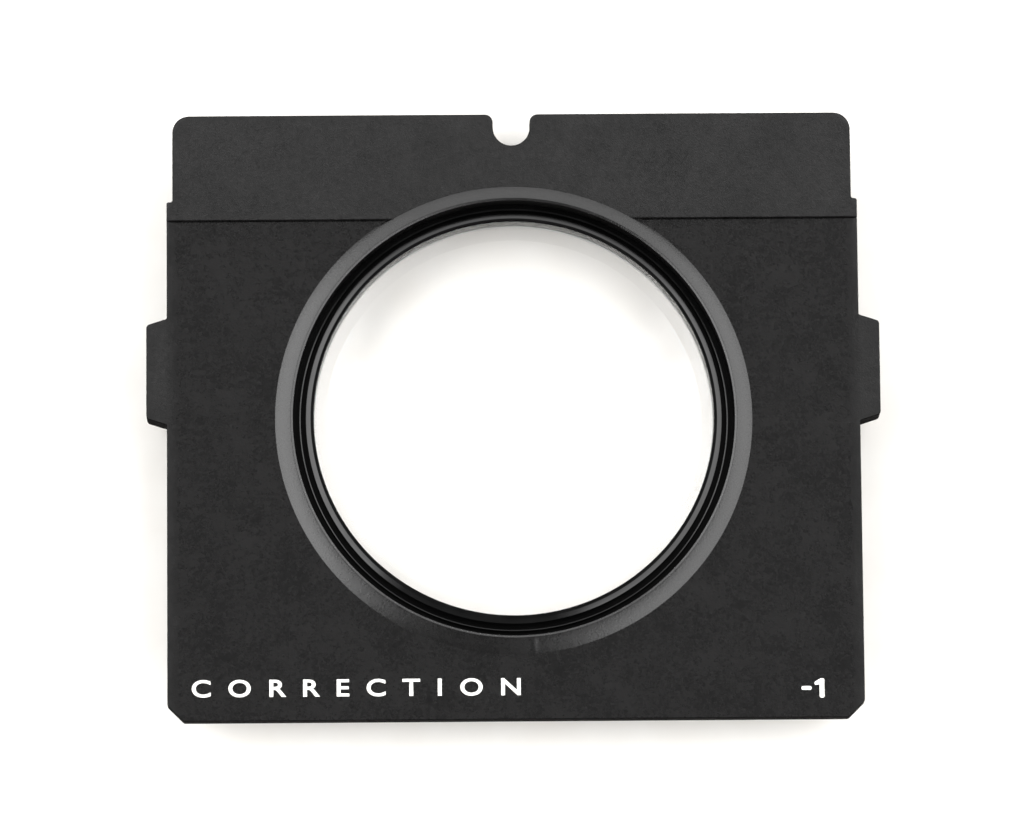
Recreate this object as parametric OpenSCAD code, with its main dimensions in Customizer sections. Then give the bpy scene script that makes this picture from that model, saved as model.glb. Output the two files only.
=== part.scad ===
// Finder magnifier plate: a slide-in moulded plate with a raised lens bezel,
// a convex magnifier lens and the snap ring that holds the lens in its cell.
// The printed face looks up (+Z), the lens cell stands on Z = 0.

/* [Plate] */
// Width of the plate body, between its long side edges
body_w = 47.2; // [40:0.2:60]
// Height of the plate, from the chamfered edge to the notched edge
body_h = 41.8; // [38:0.2:60]
// Thickness of the plate body
body_t = 1.2; // [1:0.1:2.4]
// Size of the 45 degree chamfers on the two lower corners
corner_chamfer = 1.1; // [0.4:0.1:3]

/* [Tongue] */
// Width of the narrower upper end that enters the hood frame
tongue_w = 46.4; // [38:0.2:59]
// Distance from the notched edge down to the shoulders
tongue_h = 6.0; // [4:0.1:9]
// Corner radius of the tongue
tongue_r = 1.15; // [0.5:0.05:3]
// Depth of the thicker strip along the notched edge
strip_h = 7.3; // [4:0.1:10]
// Height of the thicker strip above the plate face
strip_rise = 0.15; // [0.05:0.05:0.5]
// Width and depth of the fine relief groove along the strip
relief = 0.1; // [0.05:0.01:0.3]

/* [Notch] */
// Radius of the detent notch
notch_r = 1.26; // [0.8:0.02:2.5]
// Depth of the detent notch
notch_depth = 2.18; // [1.6:0.02:4]
// Radius of the flared mouth of the notch
notch_flare_r = 0.55; // [0.2:0.05:1.2]

/* [Finger tabs] */
// How far each tab stands out past the side edge
tab_out = 1.4; // [0.8:0.1:4]
// Length of a tab at its root
tab_root = 7.35; // [4:0.05:12]
// Length of a tab at its tip
tab_tip = 6.45; // [3:0.05:11]
// Thickness of a tab, measured down from the plate face
tab_t = 2.0; // [1.2:0.1:3.2]
// How far in from the side edge the thick part of a tab reaches
tab_in = 1.6; // [0.8:0.1:3]
// Distance of a tab's middle above the middle of the plate
tab_y = 3.15; // [-6:0.05:8]
// Corner radius of a tab
tab_r = 0.3; // [0.1:0.05:0.6]

/* [Bezel] */
// Distance of the lens axis below the middle of the plate
axis_drop = 0.24; // [0:0.02:3]
// Radial width of the sloping bezel face
bezel_w = 1.21; // [0.8:0.05:3]
// Height of the bezel crest above the plate face
bezel_h = 0.68; // [0.4:0.02:1.6]
// Slope of the bezel at its foot, in degrees
bezel_foot_slope = 42; // [36:1:56]
// Width of the chamfer between the crest and the bezel wall
crest_w = 0.15; // [0.05:0.01:0.4]
// Fall of that chamfer towards the lens
crest_fall = 0.1; // [0.02:0.01:0.3]

/* [Lens] */
// Radius of the lens
lens_r = 13.8; // [10:0.1:18]
// Thickness of the lens at its edge
lens_edge_t = 0.78; // [0.6:0.02:2]
// Height of the front curve over its edge
lens_sag_front = 1.6; // [0.6:0.05:2]
// Height of the rear curve over its edge
lens_sag_rear = 1.3; // [0.4:0.05:1.6]
// How far the ring and the rear lip reach in over the edge of the lens
lip_overlap = 0.2; // [0.1:0.02:0.6]
// How far the flat seating land shows inside the opening
land_margin = 0.05; // [0.02:0.01:0.3]

/* [Retaining ring] */
// Radial width of the collar round the opening
collar_w = 0.56; // [0.4:0.02:1]
// Width of the flat land on top of the collar
collar_land = 0.23; // [0.05:0.01:0.3]
// Height of the collar's land above the plate face
collar_rise = 0.32; // [0.1:0.02:0.6]
// Drop of the collar's outer bevel
collar_bevel = 0.17; // [0.05:0.01:0.28]
// Width of the groove between the collar and the spring rib
ring_groove = 0.33; // [0.2:0.01:0.6]
// Width of the spring rib
rib_w = 0.12; // [0.1:0.01:0.3]
// How far the spring rib's top lies below the plate face
rib_drop = 0.23; // [0.1:0.01:0.6]
// Fall of the rib's top towards the lens
rib_fall = 0.04; // [0.01:0.01:0.1]
// Thickness of the ring's flange
flange_t = 0.3; // [0.2:0.05:0.6]
// How far the flange hooks into the undercut of the cell
snap_hook = 0.09; // [0.05:0.01:0.2]

/* [Lens cell] */
// Width of the open gap between the spring rib and the bezel wall
rib_gap = 0.42; // [0.2:0.02:0.8]
// Depth of the ring's shoulder below the plate face
shoulder_drop = 1.3; // [1:0.05:2]
// How far the lens stays above the surface that the cell stands on
rear_clear = 0.2; // [0.1:0.05:2]
// Wall between the ring's undercut and the outside of the cell
cell_wall = 0.75; // [0.6:0.05:2]
// Width of the rim that the cell stands on
rim_w = 1.3; // [0.8:0.1:2]
// Thickness of the rear lip that the lens rests on
lip_t = 0.3; // [0.2:0.05:0.8]

/* [Fits] */
// Radial clearance round the lens
lens_clear = 0.05; // [0.02:0.01:0.15]
// Radial clearance round the flange of the ring
ring_clear = 0.05; // [0.02:0.01:0.15]
// Axial clearance between the ring and the lens
axial_clear = 0.02; // [0.01:0.01:0.1]

/* [Hidden] */
$fn = 96;
arc_steps = 8;
cap_fn = 1440;

// heights above the rim that the cell stands on
seat_z = rear_clear + lens_sag_rear;
lip_z = seat_z - lip_t;
lens_top_z = seat_z + lens_edge_t;
shoulder_z = lens_top_z + axial_clear;
face_z = shoulder_z + shoulder_drop;

// radii about the lens axis
opening_r = lens_r - lip_overlap;
collar_r = opening_r + collar_w;
rib_in_r = collar_r + ring_groove;
rib_out_r = rib_in_r + rib_w;
wall_r = rib_out_r + rib_gap;
flange_r = wall_r + snap_hook;
undercut_r = flange_r + ring_clear;
cell_r = undercut_r + cell_wall;
foot_r = wall_r + bezel_w;
lens_bore_r = lens_r + lens_clear;
rim_in_r = cell_r - rim_w;

// edges of the plate
side_x = body_w / 2;
tongue_x = tongue_w / 2;
top_y = body_h / 2;
bottom_y = -body_h / 2;
shoulder_y = top_y - tongue_h;
strip_y = top_y - strip_h;
shoulder_r = min(0.3, (side_x - tongue_x) / 2.5);

// unit vector from a to b
function toward(a, b) = (b - a) / norm(b - a);

// the arc that rounds corner b of the path a, b, c
function fillet(a, b, c, r) =
    let (u = toward(b, a), v = toward(b, c),
         half = acos(max(-1, min(1, u * v))) / 2,
         centre = b + toward([0, 0], u + v) * r / sin(half),
         p = b + u * r / tan(half) - centre,
         turn = sign(u.y * v.x - u.x * v.y) * (180 - 2 * half))
    [for (i = [0 : arc_steps])
        let (t = turn * i / arc_steps)
        centre + [p.x * cos(t) - p.y * sin(t), p.x * sin(t) + p.y * cos(t)]];

// a closed path [x, y, corner radius] with its corners rounded
function rounded(path) =
    let (n = len(path), xy = [for (q = path) [q.x, q.y]])
    [for (i = [0 : n - 1])
        let (r = path[i][2])
        each r > 0 ? fillet(xy[(i + n - 1) % n], xy[i], xy[(i + 1) % n], r) : [xy[i]]];

// the plate seen from the front, without its tabs
module plate_outline() {
    notch_mid = top_y - notch_depth + notch_r;
    difference() {
        polygon(rounded([
            [-side_x, bottom_y + corner_chamfer, 0.3],
            [-side_x + corner_chamfer, bottom_y, 0.3],
            [side_x - corner_chamfer, bottom_y, 0.3],
            [side_x, bottom_y + corner_chamfer, 0.3],
            [side_x, shoulder_y, shoulder_r],
            [tongue_x, shoulder_y, shoulder_r],
            [tongue_x, top_y, tongue_r],
            [notch_r, top_y, notch_flare_r],
            [notch_r, notch_mid, 0],
            [-notch_r, notch_mid, 0],
            [-notch_r, top_y, notch_flare_r],
            [-tongue_x, top_y, tongue_r],
            [-tongue_x, shoulder_y, shoulder_r],
            [-side_x, shoulder_y, shoulder_r]
        ]));
        translate([0, notch_mid]) circle(notch_r);
    }
}

// one finger tab, standing out towards +X from inside the side edge
module tab_outline() {
    polygon(rounded([
        [side_x - tab_in, tab_y - tab_root / 2, 0],
        [side_x, tab_y - tab_root / 2, tab_r],
        [side_x + tab_out, tab_y - tab_tip / 2, tab_r],
        [side_x + tab_out, tab_y + tab_tip / 2, tab_r],
        [side_x, tab_y + tab_root / 2, tab_r],
        [side_x - tab_in, tab_y + tab_root / 2, 0]
    ]));
}

// section of the bezel above the plate face, from its foot over the crest to the wall
function bezel_section() =
    let (foot = [foot_r, face_z],
         crest = [wall_r + crest_w, face_z + bezel_h],
         chord = atan2(bezel_h, foot.x - crest.x),
         bulge = tan(max(0, bezel_foot_slope - chord) / 2) / 2,
         side = [crest.y - foot.y, foot.x - crest.x])
    concat(
        [[foot_r, face_z - body_t / 2]],
        [for (i = [0 : arc_steps])
            let (t = i / arc_steps)
            foot + (crest - foot) * t + side * bulge * 4 * t * (1 - t)],
        [[wall_r, face_z + bezel_h - crest_fall]]);

// the body, the thicker strip and the two tabs, with a hole for the lens cell
module plate_slab() {
    groove_x = sqrt(max(0, pow(foot_r, 2) - pow(strip_y + axis_drop, 2)));
    difference() {
        union() {
            translate([0, 0, face_z - body_t])
                linear_extrude(body_t) plate_outline();
            translate([0, 0, face_z - body_t / 2])
                linear_extrude(body_t / 2 + strip_rise) intersection() {
                    plate_outline();
                    translate([-side_x - 1, strip_y]) square([body_w + 2, strip_h + 1]);
                }
            translate([0, 0, face_z - tab_t]) linear_extrude(tab_t) {
                tab_outline();
                mirror([1, 0]) tab_outline();
            }
        }
        translate([0, -axis_drop, -1]) cylinder(r = (undercut_r + cell_r) / 2, h = face_z + 3);
        // relief groove along the foot of the strip, on both sides of the bezel
        for (side = [0, 1]) mirror([side, 0])
            translate([max(0, groove_x - bezel_w / 2), strip_y - relief, face_z - relief])
                cube([side_x, relief, relief + 1]);
    }
}

// the bezel and the lens cell: one ring with the seats for the lens and the snap ring
module lens_cell() {
    undercut_z = shoulder_z + flange_t + ring_clear;
    translate([0, -axis_drop]) rotate_extrude() polygon(concat(
        [[opening_r, lip_z], [rim_in_r, 0], [cell_r, 0], [cell_r, face_z - body_t / 2]],
        bezel_section(),
        [[wall_r, undercut_z], [undercut_r, undercut_z], [undercut_r, shoulder_z],
         [lens_bore_r, shoulder_z], [lens_bore_r, seat_z], [opening_r, seat_z]]));
}

module lens_plate() color("#2b2a2a") {
    plate_slab();
    lens_cell();
}

// a spherical cap that rises by sag over a circle of radius a at z = 0
module cap(a, sag) {
    big_r = (a * a + sag * sag) / (2 * sag);
    rotate_extrude() intersection() {
        translate([0, sag - big_r]) circle(big_r, $fn = cap_fn);
        square(big_r);
    }
}

module magnifier_lens() color("#dfe8ee", 0.35) {
    curve_r = opening_r - land_margin;
    translate([0, -axis_drop]) {
        translate([0, 0, seat_z]) cylinder(r = lens_r, h = lens_edge_t);
        translate([0, 0, lens_top_z]) cap(curve_r, lens_sag_front);
        translate([0, 0, seat_z]) mirror([0, 0, 1]) cap(curve_r, lens_sag_rear);
    }
}

module retaining_ring() color("#0c0c0d") {
    collar_top = face_z + collar_rise;
    rib_top = face_z - rib_drop;
    flange_top = shoulder_z + flange_t;
    translate([0, -axis_drop]) rotate_extrude() polygon([
        [opening_r, shoulder_z], [flange_r, shoulder_z], [flange_r, flange_top],
        [rib_out_r, flange_top], [rib_out_r, rib_top], [rib_in_r, rib_top - rib_fall],
        [rib_in_r, flange_top], [collar_r, flange_top], [collar_r, collar_top - collar_bevel],
        [opening_r + collar_land, collar_top], [opening_r, collar_top]
    ]);
}

lens_plate();
magnifier_lens();
retaining_ring();
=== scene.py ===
import math

import bmesh
import bpy
from mathutils import Matrix, Vector
from mathutils.geometry import delaunay_2d_cdt


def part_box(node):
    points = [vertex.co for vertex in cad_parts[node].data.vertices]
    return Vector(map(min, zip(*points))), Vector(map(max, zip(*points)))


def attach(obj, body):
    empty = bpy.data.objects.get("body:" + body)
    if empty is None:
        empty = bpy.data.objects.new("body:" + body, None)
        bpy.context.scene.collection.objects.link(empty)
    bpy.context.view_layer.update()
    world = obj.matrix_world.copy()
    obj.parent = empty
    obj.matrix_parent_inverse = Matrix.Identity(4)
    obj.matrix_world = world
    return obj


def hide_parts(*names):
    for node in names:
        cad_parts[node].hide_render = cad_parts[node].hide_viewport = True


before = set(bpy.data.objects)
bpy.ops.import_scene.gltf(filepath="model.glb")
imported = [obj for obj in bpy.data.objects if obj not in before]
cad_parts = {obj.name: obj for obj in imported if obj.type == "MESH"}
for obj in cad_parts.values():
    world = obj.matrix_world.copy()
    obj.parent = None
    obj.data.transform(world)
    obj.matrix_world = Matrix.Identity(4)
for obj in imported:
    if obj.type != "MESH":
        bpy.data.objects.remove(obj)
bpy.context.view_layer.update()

mm = 0.001
mergeGap = 1e-7    # in metres: points closer than this are one point
tiny = 1e-6    # in mm: less than this is nothing
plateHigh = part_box("lens_plate")[1]
lensLow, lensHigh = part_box("magnifier_lens")
topY = plateHigh.y / mm
axisY = (lensLow.y + lensHigh.y) / 2 / mm    # the lens axis, in mm like every size below
print("frame loaded:", sorted(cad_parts))


def hexColour(code):
    channels = [int(code[i:i + 2], 16) / 255 for i in (1, 3, 5)]
    return [c / 12.92 if c <= 0.04045 else ((c + 0.055) / 1.055) ** 2.4 for c in channels] + [1.0]


def patternScale(size):
    # Object coordinates are metres, so a pattern of this many mm has this scale
    return 1 / (size * mm)


def addNode(tree, kind, settings=None, inputs=None, stops=()):
    # settings are the node's own properties, an input is a value or another node's output,
    # and stops are a colour ramp's positions and colours
    node = tree.nodes.new(kind)
    for name, value in (settings or {}).items():
        setattr(node, name, value)
    for name, value in (inputs or {}).items():
        if isinstance(value, bpy.types.NodeSocket):
            tree.links.new(value, node.inputs[name])
        else:
            node.inputs[name].default_value = value
    while stops and len(node.color_ramp.elements) < len(stops):
        node.color_ramp.elements.new(1.0)
    for k, (position, colour) in enumerate(stops):
        node.color_ramp.elements[k].position = position
        node.color_ramp.elements[k].color = colour
    return node


def newMaterial(name):
    material = bpy.data.materials.new(name)
    material.use_nodes = True
    material.node_tree.nodes.clear()
    return material, material.node_tree


def meshObject(name, verts, faces, material, smoothAngle):
    # points in mm
    mesh = bpy.data.meshes.new(name)
    mesh.from_pydata([Vector(v) * mm for v in verts], [], faces)
    mesh.validate()
    return finishObject(name, mesh, material, smoothAngle)


def finishObject(name, mesh, material, smoothAngle):
    work = bmesh.new()
    work.from_mesh(mesh)
    bmesh.ops.remove_doubles(work, verts=work.verts, dist=mergeGap)
    bmesh.ops.recalc_face_normals(work, faces=work.faces)
    work.to_mesh(mesh)
    work.free()
    mesh.materials.clear()
    mesh.materials.append(material)
    mesh.shade_smooth()
    mesh.set_sharp_from_angle(angle=math.radians(smoothAngle))
    piece = bpy.data.objects.new(name, mesh)
    bpy.context.scene.collection.objects.link(piece)
    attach(piece, "root")
    return piece


# moulded plate: one moulding with a domed bezel in front and the lens cell behind
plate = {
    "bodyWidth": 47.2, "thickness": 1.2, "cornerChamfer": 1.1, "chamferRound": 0.3,
    "tongueWidth": 46.4, "tongueDepth": 6.0, "tongueRound": 1.15, "shoulderRound": 0.16,
    "stripDepth": 7.3, "stripRise": 0.15, "stepRun": 0.03,
    "grooveWidth": 0.1, "grooveDepth": 0.07, "grooveFoot": 0.4, "grooveEnd": 0.25,
    "notchRadius": 1.26, "notchDepth": 2.18, "notchFlare": 0.55,
    "tabOut": 1.4, "tabRoot": 7.35, "tabTip": 6.45, "tabMiddle": 3.15,
    "tabThickness": 2.0, "tabInside": 1.6, "tabRound": 0.3, "rootRound": 0.15,
    "edgeRound": 0.05, "backRound": 0.05, "faceZ": 3.6,
    "footSlope": 42.0, "bezelHeight": 0.68, "crestWidth": 0.15, "crestFall": 0.1, "crestRound": 0.03,
    "footRadius": 16.24, "wallRadius": 15.03, "undercutRadius": 15.17,
    "undercutTop": 2.65, "shoulderZ": 2.3, "boreRadius": 13.85, "seatZ": 1.5,
    "openingRadius": 13.6, "lipZ": 1.2, "rimInside": 14.62, "cellRadius": 15.92, "cellChamfer": 0.05,
    "weldAzimuth": -85.4, "weldWidth": 0.22, "weldRise": 0.04,
    "columns": 720, "rowGap": 0.02, "smoothAngle": 24.0,
    "skinDark": "#020202", "skinLight": "#161515", "skinRough": 0.275, "skinDull": 0.38,
    "roughSpread": 0.04, "speckShare": 0.65, "dullFrom": -0.8, "dullTo": 0.2, "dullStep": 0.1,
    "blotchSize": 2.6, "speckSize": 0.32, "grainSize": 0.14, "grainDepth": 0.02,
    "rippleSize": 0.7, "rippleDepth": 0.009,
    # the wall finish paints shade: its specular level is held near zero so that the side walls read dark
    "wallMargin": 1.0, "wallFlatness": 0.97, "wallDark": "#050505", "wallLight": "#0c0b0b",
    "wallRough": 0.8, "wallShadeSpecular": 0.02, "wallGrain": 0.25, "wallDepth": 0.02,
}


def unit(vector):
    return vector / vector.length


def roundedPath(path, steps):
    # each corner is (x, y, radius); a radius of 0 keeps the corner sharp
    points = []
    for i, (x, y, radius) in enumerate(path):
        corner = Vector((x, y))
        if radius <= 0:
            points.append(corner)
            continue
        before = unit(Vector(path[i - 1][:2]) - corner)
        after = unit(Vector(path[(i + 1) % len(path)][:2]) - corner)
        half = before.angle(after) / 2
        centre = corner + unit(before + after) * radius / math.sin(half)
        start = corner + before * radius / math.tan(half) - centre
        turn = math.copysign(math.pi - 2 * half, before.y * after.x - before.x * after.y)
        for k in range(steps + 1):
            points.append(centre + Matrix.Rotation(turn * k / steps, 2) @ start)
    shortest = 1e-4    # a shorter side is dropped
    return [q for i, q in enumerate(points) if (q - points[i - 1]).length > shortest]


def plateOutline(p):
    # counter-clockwise, right half first; pairs of points mark the ends of the strip and the tabs
    side, tongue = p["bodyWidth"] / 2, p["tongueWidth"] / 2
    shoulderY, stripY = topY - p["tongueDepth"], topY - p["stripDepth"]
    tabLow, tabHigh = (p["tabMiddle"] - p["tabRoot"] / 2, p["tabMiddle"] + p["tabRoot"] / 2)
    tipLow, tipHigh = (p["tabMiddle"] - p["tabTip"] / 2, p["tabMiddle"] + p["tabTip"] / 2)
    right = [
        (side - p["cornerChamfer"], -topY, p["chamferRound"]),
        (side, -topY + p["cornerChamfer"], p["chamferRound"]),
        (side, tabLow - p["rootRound"] - p["stepRun"], 0),
        (side, tabLow - p["rootRound"], 0),
        (side, tabLow, p["rootRound"]), (side + p["tabOut"], tipLow, p["tabRound"]),
        (side + p["tabOut"], tipHigh, p["tabRound"]), (side, tabHigh, p["rootRound"]),
        (side, tabHigh + p["rootRound"], 0),
        (side, tabHigh + p["rootRound"] + p["stepRun"], 0),
        (side, stripY, 0), (side, stripY + p["stepRun"], 0),
        (side, shoulderY, p["shoulderRound"]), (tongue, shoulderY, p["shoulderRound"]),
        (tongue, topY, p["tongueRound"]), (p["notchRadius"], topY, p["notchFlare"]),
        (p["notchRadius"], topY - p["notchDepth"], p["notchRadius"]),
    ]
    left = [(-x, y, radius) for x, y, radius in reversed(right)]
    return roundedPath(right + left, 8)


def domeProfile(p, steps=10):
    # from the foot over the dome, the crest and its inner chamfer to the wall, as (radius, height)
    foot = Vector((p["footRadius"], p["faceZ"]))
    crest = Vector((p["wallRadius"] + p["crestWidth"], p["faceZ"] + p["bezelHeight"]))
    edge = Vector((p["wallRadius"], crest.y - p["crestFall"]))
    chord = math.degrees(math.atan2(crest.y - foot.y, foot.x - crest.x))
    bulge = math.tan(math.radians(p["footSlope"] - chord) / 2) / 2
    side = Vector((crest.y - foot.y, foot.x - crest.x))
    dome = [foot + (crest - foot) * t + side * bulge * 4 * t * (1 - t)
            for t in (k / steps for k in range(steps))]
    stripZ = p["faceZ"] + p["stripRise"]
    first = next(k for k in range(1, steps) if dome[k].y > stripZ)
    share = (stripZ - dome[first - 1].y) / (dome[first].y - dome[first - 1].y)
    atStrip = dome[first - 1].lerp(dome[first], share)
    dome = [dome[0], atStrip] + [q for q in dome if q.y > stripZ + p["rowGap"]]
    crestRound = p["crestRound"]
    ends = [tuple(dome[-1]) + (0,), tuple(crest) + (crestRound,), tuple(edge) + (crestRound,),
            (p["wallRadius"], p["undercutTop"], 0)]
    return dome[:-1] + roundedPath(ends, 4)[:-1]


def cellProfile(p):
    # from the wall below the crest down through the seats, under the rim and up the outside
    small = p["cellChamfer"]
    return [Vector(q) for q in [
        (p["wallRadius"], p["undercutTop"]), (p["undercutRadius"], p["undercutTop"]),
        (p["undercutRadius"], p["shoulderZ"]), (p["boreRadius"] + small, p["shoulderZ"]),
        (p["boreRadius"], p["shoulderZ"] - small), (p["boreRadius"], p["seatZ"]),
        (p["openingRadius"] + small, p["seatZ"]), (p["openingRadius"], p["seatZ"] - small),
        (p["openingRadius"], p["lipZ"] + small), (p["openingRadius"] + small, p["lipZ"] - small),
        (p["rimInside"] - small, small), (p["rimInside"] + small, 0),
        (p["cellRadius"] - 2 * small, 0), (p["cellRadius"] - small / 2, small / 2),
        (p["cellRadius"], 2 * small), (p["cellRadius"], p["faceZ"] - p["thickness"]),
    ]]


def fillSurface(loops, lines, heights, inside):
    # a triangulated surface between closed loops, with lines that its edges have to follow
    points, edges, z = [], [], []
    for chain, closed in [(c, True) for c in loops] + [(c, False) for c in lines]:
        start = len(points)
        points += [Vector(q[:2]) for q in chain]
        z += [q[2] for q in chain]
        edges += [(start + i, start + i + 1) for i in range(len(chain) - 1)]
        if closed:
            edges.append((start + len(chain) - 1, start))
    flat, _, faces, origins, _, _ = delaunay_2d_cdt(points, edges, [], 0, tiny)
    lifted = []
    for q, source in zip(flat, origins):
        lifted.append((q.x, q.y, z[source[0]] if source else heights(q)))
    kept = [f for f in faces if inside(sum((flat[i] for i in f), Vector((0, 0))) / len(f))]
    return lifted, kept


def insideLoop(loop, q):
    hit = False
    for a, b in zip(loop, loop[1:] + loop[:1]):
        if (a[1] > q.y) != (b[1] > q.y) and q.x < (b[0] - a[0]) * (q.y - a[1]) / (b[1] - a[1]) + a[0]:
            hit = not hit
    return hit


def satinBlackAbs(p):
    # black ABS moulded against a spark-eroded tool: near black with soft broad reflections, a cloudy
    # speckle and a faint grain; the real grain is about 0.03 mm and is drawn coarser so that it shows
    material, tree = newMaterial("satinBlackAbs")
    place = addNode(tree, "ShaderNodeTexCoord").outputs["Object"]
    blotch = addNode(tree, "ShaderNodeTexNoise", None,
                     {"Vector": place, "Scale": patternScale(p["blotchSize"]), "Detail": 4.0,
                      "Roughness": 0.6})
    grain = addNode(tree, "ShaderNodeTexNoise", None,
                    {"Vector": place, "Scale": patternScale(p["grainSize"]), "Detail": 4.0,
                     "Roughness": 0.7})
    speck = addNode(tree, "ShaderNodeTexNoise", None,
                    {"Vector": place, "Scale": patternScale(p["speckSize"]), "Detail": 5.0,
                     "Roughness": 0.75})
    cloudy = addNode(tree, "ShaderNodeMix", {"data_type": "FLOAT"},
                     {0: p["speckShare"], 2: blotch.outputs["Fac"], 3: speck.outputs["Fac"]})
    colour = addNode(tree, "ShaderNodeValToRGB", None, {"Fac": cloudy.outputs[0]},
                     [(0.3, hexColour(p["skinDark"])), (0.7, hexColour(p["skinLight"]))])
    rough = addNode(tree, "ShaderNodeMapRange", None,
                    {"Value": cloudy.outputs[0], "From Min": 0.3, "From Max": 0.7,
                     "To Min": p["skinRough"] - p["roughSpread"],
                     "To Max": p["skinRough"] + p["roughSpread"]})
    # the raised strip and the tabs are duller than the panel between them
    parts = addNode(tree, "ShaderNodeSeparateXYZ", None, {"Vector": place})
    stripY, side = topY - p["stripDepth"], p["bodyWidth"] / 2
    onStrip = addNode(tree, "ShaderNodeMapRange", None,
                      {"Value": parts.outputs["Y"], "From Min": stripY * mm,
                       "From Max": (stripY + p["dullStep"]) * mm})
    across = addNode(tree, "ShaderNodeMath", {"operation": "ABSOLUTE"}, {0: parts.outputs["X"]})
    onTab = addNode(tree, "ShaderNodeMapRange", None,
                    {"Value": across.outputs["Value"], "From Min": (side + p["dullFrom"]) * mm,
                     "From Max": (side + p["dullTo"]) * mm})
    dull = addNode(tree, "ShaderNodeMath", {"operation": "MAXIMUM"},
                   {0: onStrip.outputs["Result"], 1: onTab.outputs["Result"]})
    skin = addNode(tree, "ShaderNodeMath", {"operation": "MULTIPLY_ADD"},
                   {0: dull.outputs["Value"], 1: p["skinDull"] - p["skinRough"],
                    2: rough.outputs["Result"]})
    ripple = addNode(tree, "ShaderNodeTexNoise", None,
                     {"Vector": place, "Scale": patternScale(p["rippleSize"]), "Detail": 2.0})
    swell = addNode(tree, "ShaderNodeBump", None,
                    {"Height": ripple.outputs["Fac"], "Strength": 1.0, "Distance": p["rippleDepth"] * mm})
    bump = addNode(tree, "ShaderNodeBump", None,
                   {"Height": grain.outputs["Fac"], "Strength": 1.0, "Distance": p["grainDepth"] * mm,
                    "Normal": swell.outputs["Normal"]})
    shader = addNode(tree, "ShaderNodeBsdfPrincipled", None,
                     {"Base Color": colour.outputs["Color"], "Roughness": skin.outputs["Value"],
                      "IOR": 1.5, "Normal": bump.outputs["Normal"]})
    addNode(tree, "ShaderNodeOutputMaterial", None, {"Surface": shader.outputs["BSDF"]})
    return material


def mattWallPaintedShade(p):
    # the side walls of the same moulding: matt and nearly black, with a faint random scuff in tone and
    # bump; their reflections are held almost to nothing as painted shade, so they keep hardly a highlight
    # and read dark like walls in shade
    material, tree = newMaterial("mattWallPaintedShade")
    place = addNode(tree, "ShaderNodeTexCoord").outputs["Object"]
    scuff = addNode(tree, "ShaderNodeTexNoise", None,
                    {"Vector": place, "Scale": patternScale(p["wallGrain"]), "Detail": 4.0})
    colour = addNode(tree, "ShaderNodeValToRGB", None, {"Fac": scuff.outputs["Fac"]},
                     [(0.3, hexColour(p["wallDark"])), (0.7, hexColour(p["wallLight"]))])
    bump = addNode(tree, "ShaderNodeBump", None,
                   {"Height": scuff.outputs["Fac"], "Strength": 1.0, "Distance": p["wallDepth"] * mm})
    # the specular level near zero is painted shade: it takes the walls' reflections away so that they stay
    # dark
    shader = addNode(tree, "ShaderNodeBsdfPrincipled", None,
                     {"Base Color": colour.outputs["Color"], "Roughness": p["wallRough"],
                      "Specular IOR Level": p["wallShadeSpecular"], "Normal": bump.outputs["Normal"]})
    addNode(tree, "ShaderNodeOutputMaterial", None, {"Surface": shader.outputs["BSDF"]})
    return material


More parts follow.
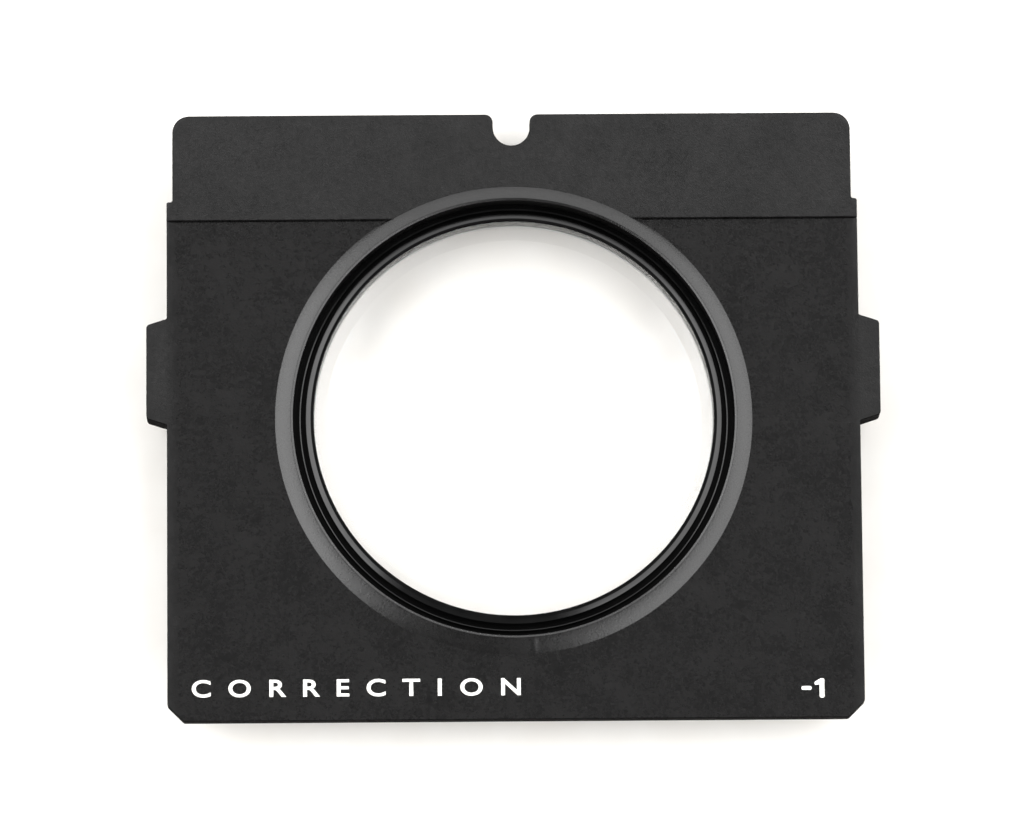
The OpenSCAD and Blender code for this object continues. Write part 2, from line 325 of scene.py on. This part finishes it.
def buildPlate(p, skin, wall):
    verts, faces = [], []

    def add(points, polygons):
        start = len(verts)
        verts.extend(tuple(q) for q in points)
        faces.extend(tuple(start + i for i in f) for f in polygons)

    stripY, stripZ = topY - p["stripDepth"], p["faceZ"] + p["stripRise"]
    side = p["bodyWidth"] / 2
    blockLow = p["tabMiddle"] - p["tabRoot"] / 2 - p["rootRound"]
    blockHigh = p["tabMiddle"] + p["tabRoot"] / 2 + p["rootRound"]
    backZ, tabZ = p["faceZ"] - p["thickness"], p["faceZ"] - p["tabThickness"]
    outline = plateOutline(p)
    count = len(outline)
    normals = []
    for i, q in enumerate(outline):
        along = unit(q - outline[i - 1]) + unit(outline[(i + 1) % count] - q)
        normals.append(unit(Vector((along.y, -along.x))))

    def frontZ(q):
        return stripZ if q.y > stripY + p["stepRun"] / 2 else p["faceZ"]

    def rearZ(q):
        onTab = abs(q.x) > side - tiny and blockLow - tiny <= q.y <= blockHigh + tiny
        return tabZ if onTab else backZ

    # the side wall, rounded at its front and back edges
    steps = 5
    levels = []
    for k in range(steps + 1):
        t = math.pi / 2 * k / steps
        drop, inset = p["edgeRound"] * (1 - math.cos(t)), p["edgeRound"] * (1 - math.sin(t))
        levels.append([(q - n * inset).to_tuple() + (frontZ(q) - drop,) for q, n in zip(outline, normals)])
    for k in range(steps + 1):
        t = math.pi / 2 * (1 - k / steps)
        rise, inset = p["backRound"] * (1 - math.cos(t)), p["backRound"] * (1 - math.sin(t))
        levels.append([(q - n * inset).to_tuple() + (rearZ(q) + rise,) for q, n in zip(outline, normals)])
    for upper, lower in zip(levels, levels[1:]):
        for i in range(count):
            j = (i + 1) % count
            add([upper[i], lower[i], lower[j], upper[j]], [(0, 1, 2, 3)])
    frontLoop, backLoop = levels[0], levels[-1]

    # the revolved bezel and cell; the columns where the strip meets the bezel follow its step
    profile = domeProfile(p) + cellProfile(p)
    columns = p["columns"]
    stepAngles = [math.asin((stripY + k * p["stepRun"] - axisY) / profile[k].x) for k in (0, 1)]
    meetColumn = round(sum(stepAngles) / 2 / (2 * math.pi) * columns)
    mirrorColumn = columns // 2 - meetColumn

    def angleOf(row, column):
        if row < 2 and column == meetColumn:
            return stepAngles[row]
        if row < 2 and column == mirrorColumn:
            return math.pi - stepAngles[row]
        return 2 * math.pi * column / columns

    domeRows = len(profile) - len(cellProfile(p))

    def onRing(row, column):
        r, z = profile[row]
        a = angleOf(row, column % columns)
        if 0 < row < domeRows - 1:    # a low ridge where the melt fronts met
            across = math.remainder(a - math.radians(p["weldAzimuth"]), 2 * math.pi) * r / p["weldWidth"]
            z = min(z + p["weldRise"] * math.exp(-4 * across * across), p["faceZ"] + p["bezelHeight"])
        return (r * math.cos(a), axisY + r * math.sin(a), z)

    for row in range(len(profile) - 1):
        for c in range(columns):
            if row == 0 and meetColumn <= c < mirrorColumn:
                continue
            corners = [onRing(row, c), onRing(row, c + 1), onRing(row + 1, c + 1), onRing(row + 1, c)]
            add(corners, [(0, 1, 2, 3)])

    # the front face, with the strip's step and the relief groove along its foot
    footLoop = [onRing(0, c) for c in range(mirrorColumn, columns + meetColumn + 1)]
    footLoop += [onRing(1, c) for c in range(meetColumn, mirrorColumn + 1)]
    lines = []
    for sign in (1, -1):
        edge = sign * (side - p["edgeRound"])
        foot = onRing(0, meetColumn if sign > 0 else mirrorColumn)
        rim = onRing(1, meetColumn if sign > 0 else mirrorColumn)
        near, far = foot[0] + sign * p["grooveFoot"], edge - sign * p["grooveEnd"]
        lines.append([foot, (edge, stripY, p["faceZ"])])
        lines.append([rim, (edge, stripY + p["stepRun"], stripZ)])
        grooveY, grooveZ = stripY - p["grooveWidth"] / 2, p["faceZ"] - p["grooveDepth"]
        lines.append([foot, (near, grooveY, grooveZ), (far, grooveY, grooveZ), (edge, stripY, p["faceZ"])])
        outer = stripY - p["grooveWidth"]
        lines.append([foot, (near, outer, p["faceZ"]), (far, outer, p["faceZ"]),
                      (edge, stripY, p["faceZ"])])
    hole = [q[:2] for q in footLoop]
    add(*fillSurface(
        [frontLoop, footLoop], lines, frontZ,
        lambda q: insideLoop(frontLoop, q) and not insideLoop(hole, q)))

    # the back face, with the thick blocks under the tabs
    cellLoop = [onRing(len(profile) - 1, c) for c in range(columns)]
    lines = []
    for sign in (1, -1):
        edge, inner = sign * (side - p["backRound"]), sign * (side - p["tabInside"])
        run = p["stepRun"]
        lines.append([(edge, blockLow, tabZ), (inner, blockLow, tabZ),
                      (inner, blockHigh, tabZ), (edge, blockHigh, tabZ)])
        lines.append([(edge, blockLow - run, backZ), (inner - sign * run, blockLow - run, backZ),
                      (inner - sign * run, blockHigh + run, backZ), (edge, blockHigh + run, backZ)])
    add(*fillSurface(
        [backLoop, cellLoop], lines, lambda q: backZ,
        lambda q: insideLoop(backLoop, q) and not insideLoop(cellLoop, q)))

    piece = meshObject("mouldedPlate", verts, faces, skin, p["smoothAngle"])
    # the side walls and their rounded rims take the wall finish: duller than the faces, and darker by
    # painted shade
    piece.data.materials.append(wall)
    for face in piece.data.polygons:
        middle = face.center / mm
        outside = math.hypot(middle.x, middle.y - axisY) > p["footRadius"] + p["wallMargin"]
        steep = abs(face.normal.z) < p["wallFlatness"]
        if outside and steep and abs(middle.y - stripY) > p["grooveWidth"]:
            face.material_index = 1
    weighted = piece.modifiers.new("evenNormals", "WEIGHTED_NORMAL")
    weighted.keep_sharp = True
    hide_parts("lens_plate")


# magnifier lens: clear acrylic with spherical faces and a ground edge
lens = {
    "radius": 13.8, "seatZ": 1.5, "edgeThickness": 0.78, "curveRadius": 13.55,
    "frontSag": 1.6, "rearSag": 1.3, "edgeBevel": 0.08, "columns": 192, "rings": 28,
    "smoothAngle": 12.0, "groundMargin": 0.02,
    "clearTint": "#ffffff", "clearSpecular": 0.2, "hazeSize": 9.0, "hazeRough": 0.03,
    "edgeTint": "#e6e7e4", "edgeRough": 0.55, "edgeGrit": 0.12, "edgeDepth": 0.01, "edgeClear": 0.6,
}


def revolve(profile, columns):
    # profile points are (radius, height); points on the axis become one pole
    verts, faces, rows = [], [], []
    for r, z in profile:
        if r < tiny:
            verts.append((0, axisY, z))
            rows.append([len(verts) - 1] * columns)
        else:
            rows.append(list(range(len(verts), len(verts) + columns)))
            verts += [(r * math.cos(2 * math.pi * c / columns),
                       axisY + r * math.sin(2 * math.pi * c / columns), z) for c in range(columns)]
    for low, high in zip(rows, rows[1:]):
        for c in range(columns):
            d = (c + 1) % columns
            corners = [low[c], low[d], high[d], high[c]]
            faces.append(tuple(dict.fromkeys(corners)))
    return verts, faces


def sphereHeights(radius, sag, rings):
    # (radius, height above the edge) from the axis out to the edge
    curve = (radius ** 2 + sag ** 2) / (2 * sag)
    spread = [radius * math.sin(math.pi / 2 * k / rings) ** 0.8 for k in range(rings + 1)]
    return [(r, math.sqrt(curve ** 2 - r ** 2) - curve + sag) for r in spread]


def passLight(tree, shader):
    # shadow and diffuse rays go straight through, so the studio lights what lies under the lens
    path = addNode(tree, "ShaderNodeLightPath")
    either = addNode(tree, "ShaderNodeMath", {"operation": "MAXIMUM"},
                     {0: path.outputs["Is Shadow Ray"], 1: path.outputs["Is Diffuse Ray"]})
    through = addNode(tree, "ShaderNodeBsdfTransparent", None, {"Color": hexColour("#ffffff")})
    mix = addNode(tree, "ShaderNodeMixShader", None,
                  {0: either.outputs["Value"], 1: shader, 2: through.outputs["BSDF"]})
    return mix.outputs["Shader"]


def clearAcrylic(p):
    # polished cast acrylic with a bloomed face: clear, with weak reflections and a very slight haze
    material, tree = newMaterial("clearAcrylic")
    place = addNode(tree, "ShaderNodeTexCoord").outputs["Object"]
    haze = addNode(tree, "ShaderNodeTexNoise", None,
                   {"Vector": place, "Scale": patternScale(p["hazeSize"]), "Detail": 5.0,
                    "Roughness": 0.7})
    rough = addNode(tree, "ShaderNodeMapRange", None,
                    {"Value": haze.outputs["Fac"], "From Min": 0.45, "From Max": 0.8,
                     "To Min": 0.0, "To Max": p["hazeRough"]})
    shader = addNode(tree, "ShaderNodeBsdfPrincipled", None,
                     {"Base Color": hexColour(p["clearTint"]), "Roughness": rough.outputs["Result"],
                      "IOR": 1.49, "Specular IOR Level": p["clearSpecular"], "Transmission Weight": 1.0})
    addNode(tree, "ShaderNodeOutputMaterial", None,
            {"Surface": passLight(tree, shader.outputs["BSDF"])})
    return material


def groundAcrylic(p):
    # the lens edge after grinding: a frosted pale band
    material, tree = newMaterial("groundAcrylic")
    place = addNode(tree, "ShaderNodeTexCoord").outputs["Object"]
    grit = addNode(tree, "ShaderNodeTexNoise", None,
                   {"Vector": place, "Scale": patternScale(p["edgeGrit"]), "Detail": 2.0})
    bump = addNode(tree, "ShaderNodeBump", None,
                   {"Height": grit.outputs["Fac"], "Strength": 0.5, "Distance": p["edgeDepth"] * mm})
    shader = addNode(tree, "ShaderNodeBsdfPrincipled", None,
                     {"Base Color": hexColour(p["edgeTint"]), "Roughness": p["edgeRough"], "IOR": 1.49,
                      "Transmission Weight": p["edgeClear"], "Normal": bump.outputs["Normal"]})
    addNode(tree, "ShaderNodeOutputMaterial", None,
            {"Surface": passLight(tree, shader.outputs["BSDF"])})
    return material


def buildLens(p, clear, ground):
    frontZ = p["seatZ"] + p["edgeThickness"]
    rear = [(r, p["seatZ"] - h) for r, h in sphereHeights(p["curveRadius"], p["rearSag"], p["rings"])]
    front = [(r, frontZ + h) for r, h in sphereHeights(p["curveRadius"], p["frontSag"], p["rings"])]
    b = p["edgeBevel"]
    edge = [(p["radius"] - b, p["seatZ"]), (p["radius"], p["seatZ"] + b),
            (p["radius"], frontZ - b), (p["radius"] - b, frontZ)]
    verts, faces = revolve(rear + edge + front[::-1], p["columns"])
    piece = meshObject("magnifierLens", verts, faces, clear, p["smoothAngle"])
    piece.data.materials.append(ground)
    for face in piece.data.polygons:
        middle = face.center / mm
        if math.hypot(middle.x, middle.y - axisY) > p["curveRadius"] + p["groundMargin"]:
            face.material_index = 1
    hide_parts("magnifier_lens")


# snap ring: a small section swept round the lens axis by a node tree
ring = {
    "openingRadius": 13.6, "collarWidth": 0.56, "collarTop": 3.92, "landWidth": 0.23, "bevelDrop": 0.17,
    "ribInside": 14.49, "ribWidth": 0.12, "ribTop": 3.37, "ribFall": 0.04, "flangeRadius": 15.12,
    "flangeTop": 2.6, "flangeBottom": 2.3, "smallRound": 0.04, "columns": 384, "smoothAngle": 50.0,
    "darkBlack": "#050505", "lightBlack": "#090909", "gloss": 0.18, "glossSharper": 0.04,
    "glossDuller": 0.06, "rippleSize": 1.6,
}


def ringSection(p):
    # closed section as (radius, height), the outside on the right
    inner, outer, edge = p["openingRadius"], p["openingRadius"] + p["collarWidth"], p["smallRound"]
    ribOutside = p["ribInside"] + p["ribWidth"]
    return roundedPath([
        (inner, p["flangeBottom"], edge), (p["flangeRadius"], p["flangeBottom"], edge),
        (p["flangeRadius"], p["flangeTop"], edge), (ribOutside, p["flangeTop"], 0),
        (ribOutside, p["ribTop"], edge / 2), (p["ribInside"], p["ribTop"] - p["ribFall"], edge / 2),
        (p["ribInside"], p["flangeTop"], 0), (outer, p["flangeTop"], 0),
        (outer, p["collarTop"] - p["bevelDrop"], edge), (inner + p["landWidth"], p["collarTop"], 2 * edge),
        (inner, p["collarTop"], edge),
    ], 6)


def sweepTree():
    # Path Radius and Steps set the circle; the incoming mesh is the section
    tree = bpy.data.node_groups.new("ringSweep", "GeometryNodeTree")
    face = tree.interface
    face.new_socket("Geometry", in_out="INPUT", socket_type="NodeSocketGeometry")
    ids = {}
    for name, kind in (("Path Radius", "NodeSocketFloat"), ("Axis Offset", "NodeSocketFloat"),
                       ("Steps", "NodeSocketInt"), ("Finish", "NodeSocketMaterial")):
        ids[name] = face.new_socket(name, in_out="INPUT", socket_type=kind).identifier
    face.new_socket("Geometry", in_out="OUTPUT", socket_type="NodeSocketGeometry")
    given = addNode(tree, "NodeGroupInput")
    result = addNode(tree, "NodeGroupOutput")
    section = addNode(tree, "GeometryNodeMeshToCurve", None, {"Mesh": given.outputs["Geometry"]})
    circle = addNode(tree, "GeometryNodeCurvePrimitiveCircle", None,
                     {"Resolution": given.outputs["Steps"], "Radius": given.outputs["Path Radius"]})
    upright = addNode(tree, "GeometryNodeSetCurveNormal", {"mode": "Z_UP"},
                      {"Curve": circle.outputs["Curve"]})
    swept = addNode(tree, "GeometryNodeCurveToMesh", None,
                    {"Curve": upright.outputs["Curve"], "Profile Curve": section.outputs["Curve"]})
    offset = addNode(tree, "ShaderNodeCombineXYZ", None, {"Y": given.outputs["Axis Offset"]})
    moved = addNode(tree, "GeometryNodeTransform", None,
                    {"Geometry": swept.outputs["Mesh"], "Translation": offset.outputs["Vector"]})
    real = addNode(tree, "GeometryNodeRealizeInstances", None, {"Geometry": moved.outputs["Geometry"]})
    painted = addNode(tree, "GeometryNodeSetMaterial", None,
                      {"Geometry": real.outputs["Geometry"], "Material": given.outputs["Finish"]})
    tree.links.new(painted.outputs["Geometry"], result.inputs["Geometry"])
    return tree, ids


def glossBlackAcetal(p):
    # moulded acetal: deeper black and shinier than the plate, with slow ripples in its gloss
    material, tree = newMaterial("glossBlackAcetal")
    place = addNode(tree, "ShaderNodeTexCoord").outputs["Object"]
    ripple = addNode(tree, "ShaderNodeTexNoise", None,
                     {"Vector": place, "Scale": patternScale(p["rippleSize"]), "Detail": 3.0})
    colour = addNode(tree, "ShaderNodeValToRGB", None, {"Fac": ripple.outputs["Fac"]},
                     [(0.3, hexColour(p["darkBlack"])), (0.7, hexColour(p["lightBlack"]))])
    rough = addNode(tree, "ShaderNodeMapRange", None,
                    {"Value": ripple.outputs["Fac"], "From Min": 0.3, "From Max": 0.7,
                     "To Min": p["gloss"] - p["glossSharper"],
                     "To Max": p["gloss"] + p["glossDuller"]})
    shader = addNode(tree, "ShaderNodeBsdfPrincipled", None,
                     {"Base Color": colour.outputs["Color"], "Roughness": rough.outputs["Result"],
                      "IOR": 1.44})
    addNode(tree, "ShaderNodeOutputMaterial", None, {"Surface": shader.outputs["BSDF"]})
    return material


def buildRing(p, material):
    pathRadius = p["openingRadius"] + p["collarWidth"] / 2
    section = ringSection(p)
    mesh = bpy.data.meshes.new("ringSection")
    # the sweep lays the section's X outwards and its Y down
    mesh.from_pydata([((r - pathRadius) * mm, -z * mm, 0) for r, z in section],
                     [(i, (i + 1) % len(section)) for i in range(len(section))], [])
    source = bpy.data.objects.new("ringSource", mesh)
    bpy.context.scene.collection.objects.link(source)
    tree, ids = sweepTree()
    modifier = source.modifiers.new("sweep", "NODES")
    modifier.node_group = tree
    modifier[ids["Path Radius"]] = pathRadius * mm
    modifier[ids["Axis Offset"]] = axisY * mm
    modifier[ids["Steps"]] = p["columns"]
    modifier[ids["Finish"]] = material
    evaluated = source.evaluated_get(bpy.context.evaluated_depsgraph_get())
    swept = bpy.data.meshes.new_from_object(evaluated)
    source.modifiers.remove(modifier)
    bpy.data.objects.remove(source)
    piece = finishObject("snapRing", swept, material, p["smoothAngle"])
    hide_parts("retaining_ring")


# printed marks: thin films of white ink on the plate face
marks = {
    "word": "CORRECTION", "wordLeft": -21.95, "wordRight": 0.3, "wordMiddle": -18.68,
    "capHeight": 1.2, "letterSpacing": 2.1, "strokeGain": 0.018, "film": 0.008,
    "smoothAngle": 30.0, "joinGap": 1e-6,
    "inkWhite": "#f3f2ee", "inkShade": "#dcdbd6", "inkGrain": 0.09,
    "minus": [(19.31, -19.04, 0.1), (19.99, -19.04, 0.1), (19.99, -18.78, 0.1), (19.31, -18.78, 0.1)],
    "digit": [(20.53, -19.58, 0.12), (20.86, -19.58, 0.12), (20.86, -18.26, 0.1), (20.6, -18.26, 0.1),
              (20.2, -18.5, 0.08), (20.2, -18.72, 0.08), (20.53, -18.66, 0.04)],
}


def inkFilm(name, flat, p, material):
    # flat holds (x, y) points already in place, and the faces over them
    verts, faces = flat
    low, high = plate["faceZ"], plate["faceZ"] + p["film"]
    count = len(verts)
    solid = [(x, y, high) for x, y in verts] + [(x, y, low) for x, y in verts]
    rims = {}
    for face in faces:
        for a, b in zip(face, face[1:] + face[:1]):
            rims[(a, b)] = rims.get((a, b), 0) + 1
    walls = [(a, a + count, b + count, b) for a, b in rims if (b, a) not in rims]
    polygons = list(faces) + [tuple(count + i for i in reversed(f)) for f in faces] + walls
    meshObject(name, solid, polygons, material, p["smoothAngle"])


def flatText(p):
    # a plain upright sans word as flat polygons, fitted to its place
    curve = bpy.data.curves.new("inkText", "FONT")
    curve.body = p["word"]
    curve.resolution_u = 6
    curve.space_character = p["letterSpacing"]
    curve.offset = p["strokeGain"]
    source = bpy.data.objects.new("inkText", curve)
    bpy.context.scene.collection.objects.link(source)
    bpy.context.view_layer.update()
    mesh = bpy.data.meshes.new_from_object(source.evaluated_get(bpy.context.evaluated_depsgraph_get()))
    bpy.data.objects.remove(source)
    work = bmesh.new()
    work.from_mesh(mesh)
    bmesh.ops.remove_doubles(work, verts=work.verts, dist=p["joinGap"])
    xs = [v.co.x for v in work.verts]
    ys = [v.co.y for v in work.verts]
    scaleX = (p["wordRight"] - p["wordLeft"]) / (max(xs) - min(xs))
    scaleY = p["capHeight"] / (max(ys) - min(ys))
    verts = [((v.co.x - min(xs)) * scaleX + p["wordLeft"],
              (v.co.y - (min(ys) + max(ys)) / 2) * scaleY + p["wordMiddle"]) for v in work.verts]
    faces = []
    for face in work.faces:
        face.normal_update()
        ids = [v.index for v in face.verts]
        faces.append(tuple(ids if face.normal.z > 0 else reversed(ids)))
    work.free()
    return verts, faces


def whitePadInk(p):
    # pad-printed ink: a matt white film with a slightly uneven lay
    material, tree = newMaterial("whitePadInk")
    place = addNode(tree, "ShaderNodeTexCoord").outputs["Object"]
    lay = addNode(tree, "ShaderNodeTexNoise", None,
                  {"Vector": place, "Scale": patternScale(p["inkGrain"]), "Detail": 3.0})
    colour = addNode(tree, "ShaderNodeValToRGB", None, {"Fac": lay.outputs["Fac"]},
                     [(0.3, hexColour(p["inkShade"])), (0.55, hexColour(p["inkWhite"]))])
    shader = addNode(tree, "ShaderNodeBsdfPrincipled", None,
                     {"Base Color": colour.outputs["Color"], "Roughness": 0.6})
    addNode(tree, "ShaderNodeOutputMaterial", None, {"Surface": shader.outputs["BSDF"]})
    return material


def buildMarks(p, material):
    inkFilm("printedWord", flatText(p), p, material)
    for name in ("minus", "digit"):
        outline = [q.to_tuple() for q in roundedPath(p[name], 5)]
        face = tuple(range(len(outline)))
        inkFilm("printed" + name.capitalize(), (outline, [face]), p, material)


# studio: paper floor, soft diffusers all round, a dim ceiling and the camera
studio = {
    "floorHalf": 1.5,    # metres
    "paperLight": "#f4f2ee", "paperShade": "#f0ede8", "fibreSize": 4.0,
    # from -X round by -Y, +X and +Y: azimuth in degrees, brightness, top edge in degrees
    "diffusers": [(-180, 6.1, 58), (-172, 6.6, 47), (-141, 6.6, 45), (-135, 0.3, 46), (-69, 0.3, 46),
                  (-63, 5.1, 46), (-10, 5.1, 48), (0, 5.2, 63), (46, 5.2, 62), (54, 2.9, 53),
                  (126, 2.9, 53), (134, 5.8, 61), (180, 6.1, 58)],
    "brightest": 8.0, "edgeSoft": 9,
    "ceiling": 0.155, "horizon": 0.02, "ceilingFrom": 0.3, "ceilingTo": 0.9,
    "tilt": -10.26176, "lean": 0.70868, "roll": 0.51763, "lens": 289.35,
    "offset": (0.12677, -0.36730), "distance": 560.187, "aim": (0.008, 0.036, 3.6),
    "clipStart": 0.05, "clipEnd": 10,    # metres
}


def matWhitePaper(p):
    # backdrop paper: flat, matt and warm white, with a barely seen fibre
    material, tree = newMaterial("matWhitePaper")
    place = addNode(tree, "ShaderNodeTexCoord").outputs["Object"]
    fibre = addNode(tree, "ShaderNodeTexNoise", None,
                    {"Vector": place, "Scale": patternScale(p["fibreSize"]), "Detail": 3.0})
    colour = addNode(tree, "ShaderNodeValToRGB", None, {"Fac": fibre.outputs["Fac"]},
                     [(0.3, hexColour(p["paperShade"])), (0.7, hexColour(p["paperLight"]))])
    shader = addNode(tree, "ShaderNodeBsdfPrincipled", None,
                     {"Base Color": colour.outputs["Color"], "Roughness": 0.9,
                      "Specular IOR Level": 0.1})
    addNode(tree, "ShaderNodeOutputMaterial", None, {"Surface": shader.outputs["BSDF"]})
    return material


def buildStudio(p, paper):
    half = p["floorHalf"]
    mesh = bpy.data.meshes.new("paperFloor")
    mesh.from_pydata([(-half, -half, 0), (half, -half, 0), (half, half, 0), (-half, half, 0)], [],
                     [(0, 1, 2, 3)])
    mesh.materials.append(paper)
    floor = bpy.data.objects.new("paperFloor", mesh)
    bpy.context.scene.collection.objects.link(floor)
    world = bpy.data.worlds.new("studioRoom")
    world.use_nodes = True
    tree = world.node_tree
    tree.nodes.clear()
    direction = addNode(tree, "ShaderNodeTexCoord").outputs["Generated"]
    parts = addNode(tree, "ShaderNodeSeparateXYZ", None, {"Vector": direction})
    around = addNode(tree, "ShaderNodeMath", {"operation": "ARCTAN2"},
                     {0: parts.outputs["Y"], 1: parts.outputs["X"]})
    share = addNode(tree, "ShaderNodeMapRange", None,
                    {"Value": around.outputs["Value"], "From Min": -math.pi, "From Max": math.pi})
    rise = addNode(tree, "ShaderNodeMath", {"operation": "ARCSINE"}, {0: parts.outputs["Z"]})
    height = addNode(tree, "ShaderNodeMath", {"operation": "MULTIPLY"},
                     {0: rise.outputs["Value"], 1: 2 / math.pi})

    # ramps hold shares of the brightest and of a right angle
    light, edge = [], []
    for azimuth, brightness, top in p["diffusers"]:
        position = (azimuth + 180) / 360
        light.append((position, (brightness / p["brightest"],) * 3 + (1,)))
        edge.append((position, (top / 90,) * 3 + (1,)))
    lightRamp = addNode(tree, "ShaderNodeValToRGB", None, {"Fac": share.outputs["Result"]}, light)
    edgeRamp = addNode(tree, "ShaderNodeValToRGB", None, {"Fac": share.outputs["Result"]}, edge)
    bright = addNode(tree, "ShaderNodeMath", {"operation": "MULTIPLY"},
                     {0: lightRamp.outputs["Color"], 1: p["brightest"]})
    lowEdge = addNode(tree, "ShaderNodeMath", {"operation": "SUBTRACT"},
                      {0: edgeRamp.outputs["Color"], 1: p["edgeSoft"] / 90})
    highEdge = addNode(tree, "ShaderNodeMath", {"operation": "ADD"},
                       {0: edgeRamp.outputs["Color"], 1: p["edgeSoft"] / 90})
    screen = addNode(tree, "ShaderNodeMapRange", {"interpolation_type": "SMOOTHSTEP"},
                     {"Value": height.outputs["Value"], "From Min": lowEdge.outputs["Value"],
                      "From Max": highEdge.outputs["Value"], "To Min": bright.outputs["Value"],
                      "To Max": 0.0})
    level = addNode(tree, "ShaderNodeMapRange", None,
                    {"Value": parts.outputs["Z"], "From Min": p["ceilingFrom"],
                     "From Max": p["ceilingTo"], "To Min": p["horizon"], "To Max": p["ceiling"]})
    total = addNode(tree, "ShaderNodeMath", {"operation": "ADD"},
                    {0: screen.outputs["Result"], 1: level.outputs["Result"]})
    glow = addNode(tree, "ShaderNodeBackground", None, {"Strength": total.outputs["Value"]})
    addNode(tree, "ShaderNodeOutputWorld", None, {"Surface": glow.outputs["Background"]})
    bpy.context.scene.world = world


def buildCamera(p):
    turn = (Matrix.Rotation(math.radians(p["tilt"]), 3, "X")
            @ Matrix.Rotation(math.radians(p["lean"]), 3, "Y")
            @ Matrix.Rotation(math.radians(p["roll"]), 3, "Z"))
    axes = turn.transposed()
    stand = axes @ Vector((-p["offset"][0], -p["offset"][1], p["distance"])) + Vector(p["aim"])
    data = bpy.data.cameras.new("viewCamera")
    data.lens = p["lens"]
    data.clip_start = p["clipStart"]
    data.clip_end = p["clipEnd"]
    camera = bpy.data.objects.new("viewCamera", data)
    camera.matrix_world = Matrix.Translation(stand * mm) @ axes.to_4x4()
    bpy.context.scene.collection.objects.link(camera)
    bpy.context.scene.camera = camera


buildPlate(plate, satinBlackAbs(plate), mattWallPaintedShade(plate))
print("moulded plate built")
buildLens(lens, clearAcrylic(lens), groundAcrylic(lens))
print("magnifier lens built")
buildRing(ring, glossBlackAcetal(ring))
print("snap ring built")
buildMarks(marks, whitePadInk(marks))
print("printed marks built")
buildStudio(studio, matWhitePaper(studio))
buildCamera(studio)
bpy.context.scene.view_settings.view_transform = "Standard"
print("studio built")
